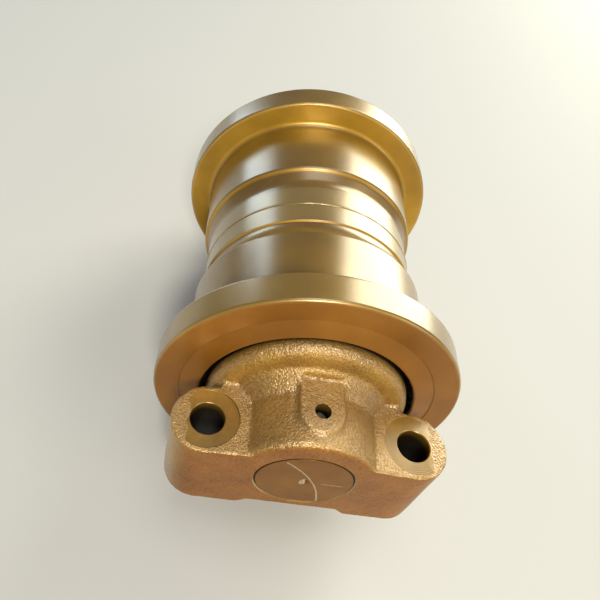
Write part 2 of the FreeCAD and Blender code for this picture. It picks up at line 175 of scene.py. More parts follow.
def turnedTwin(piece, name):
    # the same piece on the other side, turned half a turn about Z, with a mesh of its own
    makeActive(piece)
    bpy.ops.object.duplicate(linked=False)
    twin = bpy.context.object
    twin.name = name
    twin.rotation_euler = (0, 0, math.pi)
    applyPlace(twin)
    return twin


# materials

def addNode(tree, kind, **settings):
    node = tree.nodes.new(kind)
    for key, value in settings.items():
        if hasattr(node, key):
            setattr(node, key, value)
        else:
            node.inputs[key].default_value = value
    return node


def startMaterial(name, shaderSettings):
    material = bpy.data.materials.new(name)
    material.use_nodes = True
    tree = material.node_tree
    shader = tree.nodes["Principled BSDF"]
    for key, value in shaderSettings.items():
        shader.inputs[key].default_value = value
    place = addNode(tree, "ShaderNodeTexCoord")
    return material, tree, shader, place.outputs["Object"]


def noiseOn(tree, place, scale, detail=3.0, roughness=0.5):
    noise = addNode(tree, "ShaderNodeTexNoise", Scale=scale, Detail=detail, Roughness=roughness)
    tree.links.new(place, noise.inputs["Vector"])
    return noise.outputs["Fac"]


def ramp(tree, source, stops):
    # stops are (position, colour or grey)
    node = tree.nodes.new("ShaderNodeValToRGB")
    elements = node.color_ramp.elements
    while len(elements) < len(stops):
        elements.new(0.5)
    for element, (position, colour) in zip(elements, stops):
        if isinstance(colour, (int, float)):
            colour = (colour, colour, colour)
        element.position = position
        element.color = (*colour, 1)
    tree.links.new(source, node.inputs["Fac"])
    return node.outputs["Color"]


def mixColour(tree, factor, first, second, blend="MIX"):
    mix = tree.nodes.new("ShaderNodeMix")
    mix.data_type = "RGBA"
    mix.blend_type = blend
    for value, socket in ((factor, mix.inputs[0]), (first, mix.inputs[6]), (second, mix.inputs[7])):
        if isinstance(value, bpy.types.NodeSocket):
            tree.links.new(value, socket)
        elif isinstance(value, tuple):
            socket.default_value = (*value, 1)
        else:
            socket.default_value = value
    return mix.outputs[2]


def calc(tree, operation, first, second=0.0):
    # one sum on numbers or sockets
    node = tree.nodes.new("ShaderNodeMath")
    node.operation = operation
    for value, socket in zip((first, second), node.inputs):
        if isinstance(value, bpy.types.NodeSocket):
            tree.links.new(value, socket)
        else:
            socket.default_value = value
    return node.outputs[0]


def bumpOn(tree, height, strength, distance, previous=None):
    bump = addNode(tree, "ShaderNodeBump", Strength=strength, Distance=distance)
    tree.links.new(height, bump.inputs["Height"])
    if previous:
        tree.links.new(previous, bump.inputs["Normal"])
    return bump.outputs["Normal"]


def splitPlace(tree, place):
    split = tree.nodes.new("ShaderNodeSeparateXYZ")
    tree.links.new(place, split.inputs[0])
    return split.outputs


def stepLength(tree, first, second):
    # how long a step is that goes first one way and second square to it
    total = calc(tree, "ADD", calc(tree, "MULTIPLY", first, first), calc(tree, "MULTIPLY", second, second))
    return calc(tree, "SQRT", total)


def radiusFrom(tree, place, centre):
    # distance from a line along Y through the centre (x, z)
    x, y, z = splitPlace(tree, place)
    return stepLength(tree, calc(tree, "SUBTRACT", x, centre[0]), calc(tree, "SUBTRACT", z, centre[1]))


def within(tree, value, middle, half):
    return calc(tree, "LESS_THAN", calc(tree, "ABSOLUTE", calc(tree, "SUBTRACT", value, middle)), half)


def howFarAlong(tree, place):
    # the size of Y, of a place or of the way that a face looks
    return calc(tree, "ABSOLUTE", splitPlace(tree, place)[1])


def spreadRoughness(tree, shader, noise, amount, least):
    total = calc(tree, "ADD", calc(tree, "MULTIPLY", noise, amount), least)
    tree.links.new(total, shader.inputs["Roughness"])


def paintOn(tree, shader, colour, normal, endFrom, endShade):
    # thinner gloss on the faces that look along the shaft, and painted shade on those of them beyond
    # endFrom
    facing = addNode(tree, "ShaderNodeTexCoord")
    along = howFarAlong(tree, facing.outputs["Normal"])
    tree.links.new(ramp(tree, along, [(0.45, 1.0), (0.9, 0.12)]), shader.inputs["Coat Weight"])
    distance = howFarAlong(tree, facing.outputs["Object"])
    along = calc(tree, "MULTIPLY", along, calc(tree, "GREATER_THAN", distance, endFrom))
    facingShade = ramp(tree, along, [(0.6, (1.0, 1.0, 1.0)), (0.95, endShade)])
    tree.links.new(mixColour(tree, 1.0, colour, facingShade, "MULTIPLY"), shader.inputs["Base Color"])
    tree.links.new(normal, shader.inputs["Normal"])
    tree.links.new(normal, shader.inputs["Coat Normal"])


paint = {
    "gold": {"Metallic": 0.42, "Specular IOR Level": 0.1, "Coat IOR": 1.95},
    "deep": (0.20, 0.102, 0.010),
    "mid": (0.29, 0.158, 0.016),
    "light": (0.40, 0.238, 0.034),
    "pit": (0.09, 0.042, 0.007),
    # painted shade for the casting's hollows
    "valleyShade": (0.20, 0.105, 0.03),
    # pale colour for dust specks on the casting and for the shell's rubbed edges with their painted
    # highlight
    "dustAndHighlight": (0.46, 0.345, 0.160),
    "paintedShade": (0.018, 0.012, 0.007),   # near black: painted shade in the shell's mouth, in the gap round the hub and down the holes
    # tints, multiplied with the colours above; the shell's tints and both end tints are painted light and
    # shade
    "turned": (0.78, 0.80, 0.78),    # painted shade on the shell's round surfaces
    "faced": (1.55, 1.60, 1.80),     # painted light on its flat ones, which come out lighter
    "cast": (1.20, 1.12, 1.20),      # the casting is lighter than the shell
    "shellEndShade": (0.60, 0.42, 0.34),  # painted shade on the shell's outer faces that look along the shaft
    "castEndShade": (0.78, 0.56, 0.46),   # painted shade on the casting's end face
    # places along the shaft
    "shellEndFrom": 0.08,
    "castEndFrom": 0.110,
    "hubShadeUntil": 0.0878,             # painted shade in the gap round the hub is full up to here and gone by the next place
    "paintedFrom": 0.0895,
    "mouthMargin": 0.0006,           # this far outside the mouth's wall still gets the painted shade
}


def makeShellPaint():
    # satin gold paint on turned steel: fine lathe rings, flake, faint handling marks
    material, tree, shader, place = startMaterial("shellGoldPaint", {
        **paint["gold"], "Roughness": 0.4, "Coat Roughness": 0.26})
    cloud = noiseOn(tree, place, 22, 4)
    colour = ramp(tree, cloud, [(0.32, paint["deep"]), (0.55, paint["mid"]), (0.8, paint["light"])])
    flake = ramp(tree, noiseOn(tree, place, 2600, 1), [(0.45, 0.0), (0.72, 1.0)])
    colour = mixColour(tree, calc(tree, "MULTIPLY", flake, 0.25), colour, paint["light"])
    geometry = tree.nodes.new("ShaderNodeNewGeometry")
    # pointy edges are made lighter: partly rubbed paint, partly a painted highlight
    edgeWearAndHighlight = ramp(tree, geometry.outputs["Pointiness"], [(0.505, 0.0), (0.56, 1.0)])
    colour = mixColour(tree, calc(tree, "MULTIPLY", edgeWearAndHighlight, 0.35), colour, paint["dustAndHighlight"])
    # painted shade on the round surfaces and painted light on the flat ones, by the way each face looks
    # along the shaft
    facing = addNode(tree, "ShaderNodeTexCoord")
    along = howFarAlong(tree, facing.outputs["Normal"])
    turned = ramp(tree, along, [(0.45, paint["turned"]), (0.9, paint["faced"])])
    colour = mixColour(tree, 1.0, colour, turned, "MULTIPLY")
    # the mouth's wall and whatever lies inside it get near-black painted shade
    fromAxis = radiusFrom(tree, place, (0, 0))
    mouthShade = calc(tree, "LESS_THAN", fromAxis, shell["mouthRadius"] + paint["mouthMargin"])
    colour = mixColour(tree, mouthShade, colour, paint["paintedShade"])
    smear = noiseOn(tree, place, 60, 5, 0.6)
    spreadRoughness(tree, shader, smear, 0.22, 0.27)
    squash = addNode(tree, "ShaderNodeMapping")
    squash.inputs["Scale"].default_value = (8, 1500, 8)
    tree.links.new(place, squash.inputs["Vector"])
    rings = noiseOn(tree, squash.outputs[0], 1, 2)
    normal = bumpOn(tree, rings, 0.10, 0.0001)
    normal = bumpOn(tree, noiseOn(tree, place, 700, 3), 0.12, 0.0001, normal)
    paintOn(tree, shader, colour, normal, paint["shellEndFrom"], paint["shellEndShade"])
    return material


def makeCastPaint():
    # the same paint over a rough sand casting
    material, tree, shader, place = startMaterial("castGoldPaint", {
        **paint["gold"], "Roughness": 0.45, "Coat Roughness": 0.26})
    cloud = noiseOn(tree, place, 45, 5, 0.6)
    colour = ramp(tree, cloud, [(0.3, paint["deep"]), (0.52, paint["mid"]), (0.78, paint["light"])])
    geometry = tree.nodes.new("ShaderNodeNewGeometry")
    # pointy ridges lighter, partly worn paint and partly a painted highlight; hollows darker as painted
    # shade
    crestWearAndHighlight = ramp(tree, geometry.outputs["Pointiness"], [(0.5, 0.0), (0.545, 1.0)])
    valleyShade = ramp(tree, geometry.outputs["Pointiness"], [(0.455, 1.0), (0.497, 0.0)])
    colour = mixColour(tree, calc(tree, "MULTIPLY", crestWearAndHighlight, 0.45), colour, paint["light"])
    colour = mixColour(tree, calc(tree, "MULTIPLY", valleyShade, 0.5), colour, paint["valleyShade"])
    grain = noiseOn(tree, place, 900, 2, 0.6)
    speck = ramp(tree, grain, [(0.38, 0.0), (0.66, 1.0)])
    colour = mixColour(tree, calc(tree, "MULTIPLY", speck, 0.35), colour, paint["dustAndHighlight"])
    pits = ramp(tree, grain, [(0.34, 1.0), (0.46, 0.0)])
    colour = mixColour(tree, calc(tree, "MULTIPLY", pits, 0.22), colour, paint["pit"])
    # near-black painted shade in the gap round the hub, full up to one place along the shaft and fading
    # out by the next
    along = howFarAlong(tree, place)
    # a ramp runs from 0 to 1, so the places along the shaft are taken ten times over
    stops = [(paint["hubShadeUntil"] * 10, 1.0), (paint["paintedFrom"] * 10, 0.0)]
    mouthShade = ramp(tree, calc(tree, "MULTIPLY", along, 10), stops)
    colour = mixColour(tree, mouthShade, colour, paint["paintedShade"])
    spreadRoughness(tree, shader, grain, 0.3, 0.27)
    normal = bumpOn(tree, noiseOn(tree, place, 260, 3), 0.3, 0.0008)
    normal = bumpOn(tree, grain, 0.8, 0.0008, normal)
    colour = mixColour(tree, 1.0, colour, paint["cast"], "MULTIPLY")
    paintOn(tree, shader, colour, normal, paint["castEndFrom"], paint["castEndShade"])
    return material


def makeMachinedPaint():
    # painted cutter-faced metal: the spot faces, holes and pads
    material, tree, shader, place = startMaterial("machinedGoldPaint", {
        **paint["gold"], "Roughness": 0.4, "Coat Roughness": 0.22})
    cloud = noiseOn(tree, place, 70, 4)
    colour = ramp(tree, cloud, [(0.3, paint["deep"]), (0.55, paint["mid"]), (0.8, paint["light"])])
    spreadRoughness(tree, shader, cloud, 0.2, 0.26)
    x, y, z = splitPlace(tree, place)
    boltHole = (lugs["x"], lugs["y"], machining["boltRadius"], machining["spotZ"])
    pinHole = (0, collar["bossY"], machining["pinRadius"], collar["bossTop"])
    fromAxes = []
    gloss = 1.0
    for holeX, holeY, radius, top in (boltHole, pinHole):
        across = calc(tree, "SUBTRACT", calc(tree, "ABSOLUTE", x), holeX)
        along = calc(tree, "SUBTRACT", calc(tree, "ABSOLUTE", y), holeY)
        fromAxis = stepLength(tree, across, along)
        fromAxes.append(fromAxis)
        inside = calc(tree, "LESS_THAN", fromAxis, radius + machining["wallMargin"])
        # painted shade down each hole, from a little at its mouth to near black a few millimetres in
        depth = calc(tree, "MULTIPLY", calc(tree, "SUBTRACT", top, z), 100)
        shade = ramp(tree, depth, [(0.06, 0.25), (0.6, 1.0)])
        colour = mixColour(tree, calc(tree, "MULTIPLY", inside, shade), colour, paint["paintedShade"])
        gloss = calc(tree, "SUBTRACT", gloss, inside)
    tree.links.new(colour, shader.inputs["Base Color"])
    tree.links.new(gloss, shader.inputs["Coat Weight"])
    # the spot face cutter's rings run round the bolt's axis
    rings = calc(tree, "SINE", calc(tree, "MULTIPLY", fromAxes[0], 7000))
    normal = bumpOn(tree, rings, 0.18, 0.00006)
    normal = bumpOn(tree, noiseOn(tree, place, 900, 2), 0.15, 0.0001, normal)
    tree.links.new(normal, shader.inputs["Normal"])
    tree.links.new(normal, shader.inputs["Coat Normal"])
    return material


def makeBareMetal(name, dark, pale, roughness, lineScale):
    # ground or turned metal; a larger scale along one axis draws the lines finer that way
    material, tree, shader, place = startMaterial(name, {"Metallic": 1.0, "Roughness": roughness})
    cloud = noiseOn(tree, place, 40, 4)
    tree.links.new(ramp(tree, cloud, [(0.3, dark), (0.7, pale)]), shader.inputs["Base Color"])
    spreadRoughness(tree, shader, cloud, 0.2, roughness - 0.1)
    squash = addNode(tree, "ShaderNodeMapping")
    squash.inputs["Scale"].default_value = lineScale
    tree.links.new(place, squash.inputs["Vector"])
    lines = noiseOn(tree, squash.outputs[0], 1, 2)
    tree.links.new(bumpOn(tree, lines, 0.2, 0.0001), shader.inputs["Normal"])
    return material


def makeRubber():
    material, tree, shader, place = startMaterial("nitrileRubber", {
        "Metallic": 0.0, "Roughness": 0.7, "Specular IOR Level": 0.35})
    cloud = noiseOn(tree, place, 120, 4)
    dark, pale = (0.012, 0.012, 0.013), (0.030, 0.030, 0.032)
    tree.links.new(ramp(tree, cloud, [(0.35, dark), (0.7, pale)]), shader.inputs["Base Color"])
    spreadRoughness(tree, shader, cloud, 0.25, 0.52)
    tree.links.new(bumpOn(tree, noiseOn(tree, place, 1500, 3), 0.2, 0.0001), shader.inputs["Normal"])
    return material


shaftEnd = {
    "paintedFrom": 0.1345,       # only the end faces carry paint
    "steelDark": (0.42, 0.42, 0.42),
    "steelPale": (0.62, 0.61, 0.59),
    "paint": (0.22, 0.086, 0.014),
    "paintLight": (0.31, 0.145, 0.034),
    "scratch": (0.62, 0.50, 0.36),
    "arcCentre": (-0.046, -0.0287),
    "arcRadius": 0.0578,
    "arcWidth": 0.0004,
    "arcFrom": -0.0125,
    "lineHeight": -0.0007,
    "lineFrom": 0.0088,
    "lineTo": 0.0201,
    "markCentre": (-0.0008, -0.0018),
    "markRadius": 0.0015,
    "wobble": 0.0006,
    "gapRadius": 0.0243,
    "gapShade": 0.85,
    "gapColour": (0.02, 0.012, 0.005),
}


def makeShaftMetal():
    # ground steel, painted on both end faces, with two scratches and a filled centre mark
    s = shaftEnd
    material, tree, shader, place = startMaterial("shaftSteelPaintedEnds", {
        "Metallic": 0.85, "Roughness": 0.36, "Specular IOR Level": 0.1})
    x, y, z = splitPlace(tree, place)
    cloud = noiseOn(tree, place, 60, 4)
    steel = ramp(tree, cloud, [(0.3, s["steelDark"]), (0.7, s["steelPale"])])
    painted = ramp(tree, cloud, [(0.35, s["paint"]), (0.7, s["paintLight"])])
    waver = calc(tree, "SUBTRACT", noiseOn(tree, place, 300, 2), 0.5)
    wobble = calc(tree, "MULTIPLY", waver, s["wobble"])
    arc = radiusFrom(tree, place, s["arcCentre"])
    arc = within(tree, calc(tree, "ADD", arc, wobble), s["arcRadius"], s["arcWidth"])
    arc = calc(tree, "MULTIPLY", arc, calc(tree, "GREATER_THAN", x, s["arcFrom"]))
    middleX = (s["lineFrom"] + s["lineTo"]) / 2
    line = calc(tree, "MULTIPLY",
                 within(tree, calc(tree, "ADD", z, wobble), s["lineHeight"], s["arcWidth"] * 0.6),
                 within(tree, x, middleX, s["lineTo"] - middleX))
    fromAxis = radiusFrom(tree, place, (0, 0))
    fromMark = radiusFrom(tree, place, s["markCentre"])
    mark = calc(tree, "LESS_THAN", calc(tree, "ADD", fromMark, wobble), s["markRadius"])
    scuff = calc(tree, "MAXIMUM", arc, calc(tree, "MAXIMUM", line, mark))
    scuff = calc(tree, "MULTIPLY", scuff, calc(tree, "LESS_THAN", y, 0))
    worn = ramp(tree, noiseOn(tree, place, 900, 3), [(0.35, 0.35), (0.6, 1.0)])
    painted = mixColour(tree, calc(tree, "MULTIPLY", scuff, worn), painted, s["scratch"])
    gap = calc(tree, "GREATER_THAN", fromAxis, s["gapRadius"])
    painted = mixColour(tree, calc(tree, "MULTIPLY", gap, s["gapShade"]), painted, s["gapColour"])
    atEnd = calc(tree, "GREATER_THAN", calc(tree, "ABSOLUTE", y), s["paintedFrom"])
    tree.links.new(mixColour(tree, atEnd, steel, painted), shader.inputs["Base Color"])
    spreadRoughness(tree, shader, cloud, 0.22, 0.28)
    rings = calc(tree, "SINE", calc(tree, "MULTIPLY", fromAxis, 9000))
    normal = bumpOn(tree, rings, 0.07, 0.00005)
    normal = bumpOn(tree, scuff, 0.25, 0.0001, normal)
    normal = bumpOn(tree, noiseOn(tree, place, 700, 2), 0.12, 0.0001, normal)
    tree.links.new(normal, shader.inputs["Normal"])
    return material


# the shell, turned

# the sloping seats that both rubber rings of a face seal lie in, at their mouth and their floor
seat = {"front": 0.04564, "back": 0.04373}

shell = {
    "segments": 224,
    "smoothAngle": 40,
    "bandRadius": 0.0635,
    "bandEdge": 0.014,
    "grooveRadius": 0.0625,
    "grooveStart": 0.0146,
    "grooveEnd": 0.019,
    "lipRadius": 0.0654,
    "lip": 0.026,
    "treadStart": 0.0272,
    "treadRadius": 0.0675,
    "flangeStart": 0.0705,
    "flangeEnd": 0.0885,
    "landRadius": 0.069,
    "landStep": 0.0004,
    "mouthRadius": 0.0575,
    "mouthLip": 0.001,
    "mouthFloor": 0.0755,
    "seatFloor": 0.0665,
    "bushFlange": 0.0363,
    "bushShoulder": 0.062,
    "bushRadius": 0.029,
    "oilRadius": 0.0335,
    "oilEnd": 0.016,
}


def makeShellHalf():
    s = shell
    low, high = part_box("shell_half_rear")
    weldFace, mouthEnd, flangeRadius = low.y, high.y, high.x
    ring = turnRing("shellHalfRear", [
        (weldFace, s["oilRadius"]),
        (s["oilEnd"], s["oilRadius"]),
        (s["oilEnd"], s["bushRadius"]),
        (s["bushShoulder"], s["bushRadius"]),
        (s["bushShoulder"], s["bushFlange"]),
        (s["seatFloor"], s["bushFlange"]),
        (s["seatFloor"], seat["back"]),
        (s["mouthFloor"], seat["front"]),
        (s["mouthFloor"], s["mouthRadius"]),
        (mouthEnd - s["mouthLip"], s["mouthRadius"]),
        (mouthEnd, s["mouthRadius"] + s["mouthLip"]),
        (s["flangeEnd"] - s["landStep"], s["landRadius"] - s["landStep"]),
        (s["flangeEnd"], s["landRadius"]),
        (s["flangeEnd"], flangeRadius),
        (s["flangeStart"], flangeRadius),
        (s["flangeStart"], s["treadRadius"]),
        (s["treadStart"], s["treadRadius"]),
        (s["lip"], s["lipRadius"]),
        (s["grooveEnd"], s["grooveRadius"]),
        (s["grooveStart"], s["grooveRadius"]),
        (s["bandEdge"], s["bandRadius"]),
        (weldFace, s["bandRadius"]),
    ], s["segments"])
    # corners as (y, radius, width of the rounding, steps in it)
    corners = [
        (s["flangeEnd"], flangeRadius, 0.0021, 5),
        (s["flangeStart"], flangeRadius, 0.0019, 5),
        (s["flangeStart"], s["treadRadius"], 0.0036, 7),
        (s["treadStart"], s["treadRadius"], 0.0012, 6),
        (s["lip"], s["lipRadius"], 0.0009, 5),
        (s["grooveEnd"], s["grooveRadius"], 0.0024, 6),
        (s["grooveStart"], s["grooveRadius"], 0.0002, 2),
        (s["bandEdge"], s["bandRadius"], 0.0002, 2),
        (mouthEnd, s["mouthRadius"] + s["mouthLip"], 0.0005, 3),
        (mouthEnd - s["mouthLip"], s["mouthRadius"], 0.0003, 2),
        (s["flangeEnd"], s["landRadius"], 0.00015, 2),
    ]
    for y, radius, width, steps in corners:
        roundRing(ring, y, radius, width, steps)
    smoothFaces(ring, s["smoothAngle"])
    applyModifier(ring, "WEIGHTED_NORMAL", mode="FACE_AREA", keep_sharp=True)
    return ring


weld = {
    "segments": 320,
    "smoothAngle": 50,
    "crown": 0.0640,
    "crownHalf": 0.0005,
    "curl": 0.0315,
    "ripple": 0.0004,
    "rippleScale": 0.006,
    "rippleLevel": 0.8,      # above the middle, so that the bead mostly sinks
}


def makeWeldBead():
    # the friction weld's bead, a little uneven all round
    low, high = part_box("weld_seam")
    bead = turnRing("weldBead", [
        (low.y, shell["oilRadius"]),
        (-weld["crownHalf"], weld["curl"]),
        (weld["crownHalf"], weld["curl"]),
        (high.y, shell["oilRadius"]),
        (high.y, shell["bandRadius"]),
        (weld["crownHalf"], weld["crown"]),
        (-weld["crownHalf"], weld["crown"]),
        (low.y, shell["bandRadius"]),
    ], weld["segments"])
    selectPoints(bead, lambda co: math.hypot(co.x, co.z) > shell["bandRadius"] + near)
    bpy.ops.object.vertex_group_add()
    bpy.ops.object.vertex_group_assign()
    bpy.ops.object.mode_set(mode="OBJECT")
    ripple = bpy.data.textures.new("weldRipple", "CLOUDS")
    ripple.noise_scale = weld["rippleScale"]
    applyModifier(bead, "DISPLACE", texture=ripple, strength=weld["ripple"], mid_level=weld["rippleLevel"],
                  vertex_group=bead.vertex_groups[0].name, texture_coords="LOCAL")
    smoothFaces(bead, weld["smoothAngle"])
    return bead


# the collars, cast

lugs = {
    "x": 0.052,
    "y": 0.118,
    "radius": 0.018,
    "top": 0.020,
    "tip": 0.0176,           # the top slopes down to this height at the ends
    "slopeStart": 0.033,
}
collar = {
    "voxel": 0.0009,
    "segments": 96,
    "smoothAngle": 38,
    "hubRadius": 0.0545,
    "hubStart": 0.0785,
    "hubEnd": 0.097,
    "hubRound": 0.0072,
    "flareRise": 0.0065,
    "flareLength": 0.010,
    "noseRadius": 0.033,
    "saddleRadius": 0.037,
    "saddleStart": 0.090,
    "saddleRound": 0.0035,
    "webHalf": 0.047,
    "webStart": 0.092,
    "webEnd": 0.104,
    "bossHalf": 0.0112,
    "bossStart": 0.095,
    "notchStart": 0.0995,
    "bossY": 0.1175,
    "bossTop": 0.0385,
    "bossSpread": 0.0012,
    "padZ": -0.034,          # the pads lie higher than the hub's lowest place
    "reliefHalf": 0.031,
    "reliefRamp": 0.009,
    "reliefTop": -0.0304,
    "stock": 0.002,          # left under the pads for the cutter
    "softening": 5,
    "skinDepth": 0.00035,
    "skinScale": 0.0045,
}
machining = {
    "segments": 128,
    "boltRadius": 0.0085,
    "spotRadius": 0.01575,
    "spotZ": 0.018,
    "edgeBreak": 0.0004,
    "pinRadius": 0.004,
    "pinFloor": 0.005,
    "pinSegments": 48,
    "padHalf": 0.075,
    "padStart": 0.0985,
    "wallMargin": 0.0001,    # a hole's wall counts as inside it
    "boreRadius": 0.02505,
    "boreChamfer": 0.0008,
    "seatFloor": 0.0875,
    "over": 0.006,           # how far a cutter runs past the metal
}


def addLugBlock(padZ, endFace):
    # the bar between both bolts with its round ends, sloped on top
    start = lugs["y"] - lugs["radius"]
    c = collar
    bottom = padZ - c["stock"]
    blocks = [
        addBlock((-lugs["x"], start, c["reliefTop"]), (lugs["x"], endFace, lugs["top"])),
        addBlock((-c["webHalf"], c["webStart"], c["reliefTop"]), (c["webHalf"], c["webEnd"], lugs["top"])),
    ]
    for hand in (-1, 1):
        inner, outer = sorted((hand * c["reliefHalf"], hand * lugs["x"]))
        foot = addBlock((inner, start, bottom), (outer, endFace, c["reliefTop"] + c["stock"]))
        # the foot's inner side leans over, so the channel has sloping sides
        selectPoints(foot, lambda co: abs(co.x) < c["reliefHalf"] + near and co.z > bottom + near)
        bpy.ops.transform.translate(value=(-hand * c["reliefRamp"], 0, 0))
        bpy.ops.object.mode_set(mode="OBJECT")
        blocks.append(foot)
        depth = lugs["top"] - bottom
        middle = (hand * lugs["x"], lugs["y"], bottom + depth / 2)
        blocks.append(addRound("Z", middle, lugs["radius"], depth, c["segments"]))
    fall = (lugs["top"] - lugs["tip"]) / (lugs["x"] + lugs["radius"] - lugs["slopeStart"])
    for block in blocks:
        for hand in (-1, 1):
            selectPoints(block, lambda co: True)
            bpy.ops.mesh.bisect(plane_co=(hand * lugs["slopeStart"], 0, lugs["top"]),
                                plane_no=(hand * fall, 0, 1), use_fill=True, clear_outer=True)
            bpy.ops.object.mode_set(mode="OBJECT")
    return blocks


def addHub():
    c = collar
    depth = c["hubEnd"] - c["hubStart"]
    hub = addRound("Y", (0, c["hubStart"] + depth / 2, 0), c["hubRadius"], depth, c["segments"])
    roundRing(hub, c["hubEnd"], c["hubRadius"], c["hubRound"], 6)
    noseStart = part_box("collar_rear")[0].y
    depth = c["hubEnd"] - noseStart
    nose = addRound("Y", (0, noseStart + depth / 2, 0), c["noseRadius"], depth, c["segments"])
    return [hub, nose]


def keepUpperHalf(piece):
    selectPoints(piece, lambda co: True)
    bpy.ops.mesh.bisect(plane_co=(0, 0, 0), plane_no=(0, 0, 1), use_fill=True, clear_inner=True)
    bpy.ops.object.mode_set(mode="OBJECT")


def addFlare():
    # from the hub's face down to the saddle, notched flat behind the pin boss
    c = collar
    widest = c["saddleRadius"] + c["flareRise"]
    flareEnd = c["hubEnd"] + c["flareLength"]
    flare = turnRing("hubFlare", [
        (c["webStart"], c["noseRadius"]),
        (flareEnd, c["noseRadius"]),
        (flareEnd, c["saddleRadius"]),
        (c["hubEnd"], widest),
        (c["webStart"], widest),
    ], c["segments"])
    keepUpperHalf(flare)
    notch = addBlock((-c["bossHalf"], c["notchStart"], c["bossTop"]),
                     (c["bossHalf"], flareEnd + c["flareLength"], widest + c["flareRise"]))
    applyModifier(flare, "BOOLEAN", object=notch, operation="DIFFERENCE", solver="EXACT")
    removePiece(notch)
    return flare


def addSaddle(endFace):
    c = collar
    depth = endFace - c["saddleStart"]
    saddle = addRound("Y", (0, c["saddleStart"] + depth / 2, 0), c["saddleRadius"], depth, c["segments"])
    roundRing(saddle, endFace, c["saddleRadius"], c["saddleRound"], 5)
    keepUpperHalf(saddle)
    return saddle


def addPinBoss():
    # a flat tongue, wider at its foot than at its top
    c = collar
    foot = lugs["top"]
    depth = c["bossTop"] - foot
    tongue = addBlock((-c["bossHalf"], c["bossStart"], foot), (c["bossHalf"], c["bossY"], c["bossTop"]))
    end = addRound("Z", (0, c["bossY"], foot + depth / 2), c["bossHalf"], depth, c["segments"])
    for part, middle in ((tongue, (0, c["bossY"] - c["bossHalf"], foot)), (end, (0, c["bossY"], foot))):
        selectPoints(part, lambda co: co.z < foot + near)
        grow = 1 + c["bossSpread"] / c["bossHalf"]
        bpy.ops.transform.resize(value=(grow, grow, 1), center_override=middle)
        bpy.ops.object.mode_set(mode="OBJECT")
    return [tongue, end]


def makeCutters(padZ, endFace):
    # every machined surface of one collar, as solids to take away
    m = machining
    over = m["over"]
    cutters = [addBlock((-m["padHalf"], m["padStart"], padZ - over), (m["padHalf"], endFace + over, padZ))]
    for hand in (-1, 1):
        place = (hand * lugs["x"], lugs["y"], (padZ - over + m["spotZ"]) / 2)
        drill = addRound("Z", place, m["boltRadius"], m["spotZ"] - padZ + over, m["segments"])
        selectPoints(drill, lambda co: co.z > m["spotZ"] - near)
        bpy.ops.transform.translate(value=(0, 0, -m["edgeBreak"]))
        top = (hand * lugs["x"], lugs["y"], m["spotZ"])
        # chamfer of the hole, then the spot face and the way out above it
        steps = (
            (m["edgeBreak"], m["boltRadius"] + m["edgeBreak"]),
            (0, m["spotRadius"]),
            (over, m["spotRadius"]),
        )
        lastRadius = m["boltRadius"]
        for rise, radius in steps:
            bpy.ops.mesh.extrude_region_move(TRANSFORM_OT_translate={"value": (0, 0, rise)})
            grow = radius / lastRadius
            bpy.ops.transform.resize(value=(grow, grow, 1), center_override=top)
            lastRadius = radius
        bpy.ops.object.mode_set(mode="OBJECT")
        cutters.append(drill)
    pinTop = collar["bossTop"] + over
    place = (0, collar["bossY"], (m["pinFloor"] + pinTop) / 2)
    cutters.append(addRound("Z", place, m["pinRadius"], pinTop - m["pinFloor"], m["pinSegments"]))
    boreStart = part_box("collar_rear")[0].y - over
    boreEnd = endFace - m["boreChamfer"]
    place = (0, (boreStart + boreEnd) / 2, 0)
    bore = addRound("Y", place, m["boreRadius"], boreEnd - boreStart, m["segments"])
    selectPoints(bore, lambda co: co.y > boreEnd - near)
    flare = m["boreChamfer"] + over
    bpy.ops.mesh.extrude_region_move(TRANSFORM_OT_translate={"value": (0, flare, 0)})
    grow = (m["boreRadius"] + flare) / m["boreRadius"]
    bpy.ops.transform.resize(value=(grow, 1, grow), center_override=(0, endFace + over, 0))
    bpy.ops.object.mode_set(mode="OBJECT")
    cutters.append(bore)
    seatSlope = (seat["front"] - seat["back"]) / (m["seatFloor"] - collar["hubStart"])
    cutters.append(turnRing("seatCutter", [
        (collar["hubStart"] - over, collar["noseRadius"]),
        (m["seatFloor"], collar["noseRadius"]),
        (m["seatFloor"], seat["back"]),
        (collar["hubStart"] - over, seat["front"] + over * seatSlope),
    ], m["segments"]))
    return cutters


def makeCollar(castPaint, machinedPaint):
    c = collar
    padZ, endFace = c["padZ"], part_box("collar_rear")[1].y
    blanks = addLugBlock(padZ, endFace) + addHub() + [addSaddle(endFace), addFlare()] + addPinBoss()
    body = joinPieces(blanks, "collarRearCasting")
    body.data.materials.clear()
    body.data.materials.append(castPaint)
    body.data.materials.append(machinedPaint)
    applyModifier(body, "REMESH", mode="VOXEL", voxel_size=c["voxel"])
    applyModifier(body, "SMOOTH", factor=0.5, iterations=c["softening"])
    skin = bpy.data.textures.new("sandSkin", "CLOUDS")
    skin.noise_scale = c["skinScale"]
    skin.noise_depth = 3
    # mid_level 1 only ever presses the skin inwards
    applyModifier(body, "DISPLACE", texture=skin, strength=c["skinDepth"], mid_level=1.0,
                  texture_coords="LOCAL")
    for index, cutter in enumerate(makeCutters(padZ, endFace)):
        cutter.data.materials.clear()
        cutter.data.materials.append(castPaint)
        cutter.data.materials.append(machinedPaint)
        for face in cutter.data.polygons:
            face.material_index = 1
        applyModifier(body, "BOOLEAN", object=cutter, operation="DIFFERENCE", solver="MANIFOLD")
        print(f"collar cut {index}: {len(body.data.polygons)} faces")
        removePiece(cutter)
    smoothFaces(body, c["smoothAngle"])
    return body


# finish of each piece

def giveMaterial(piece, material):
    if not piece.data.materials:
        piece.data.materials.append(material)
    for slot in piece.material_slots:
        slot.material = material


def addPiece(piece, body, node):
    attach(piece, body)
    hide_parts(node)


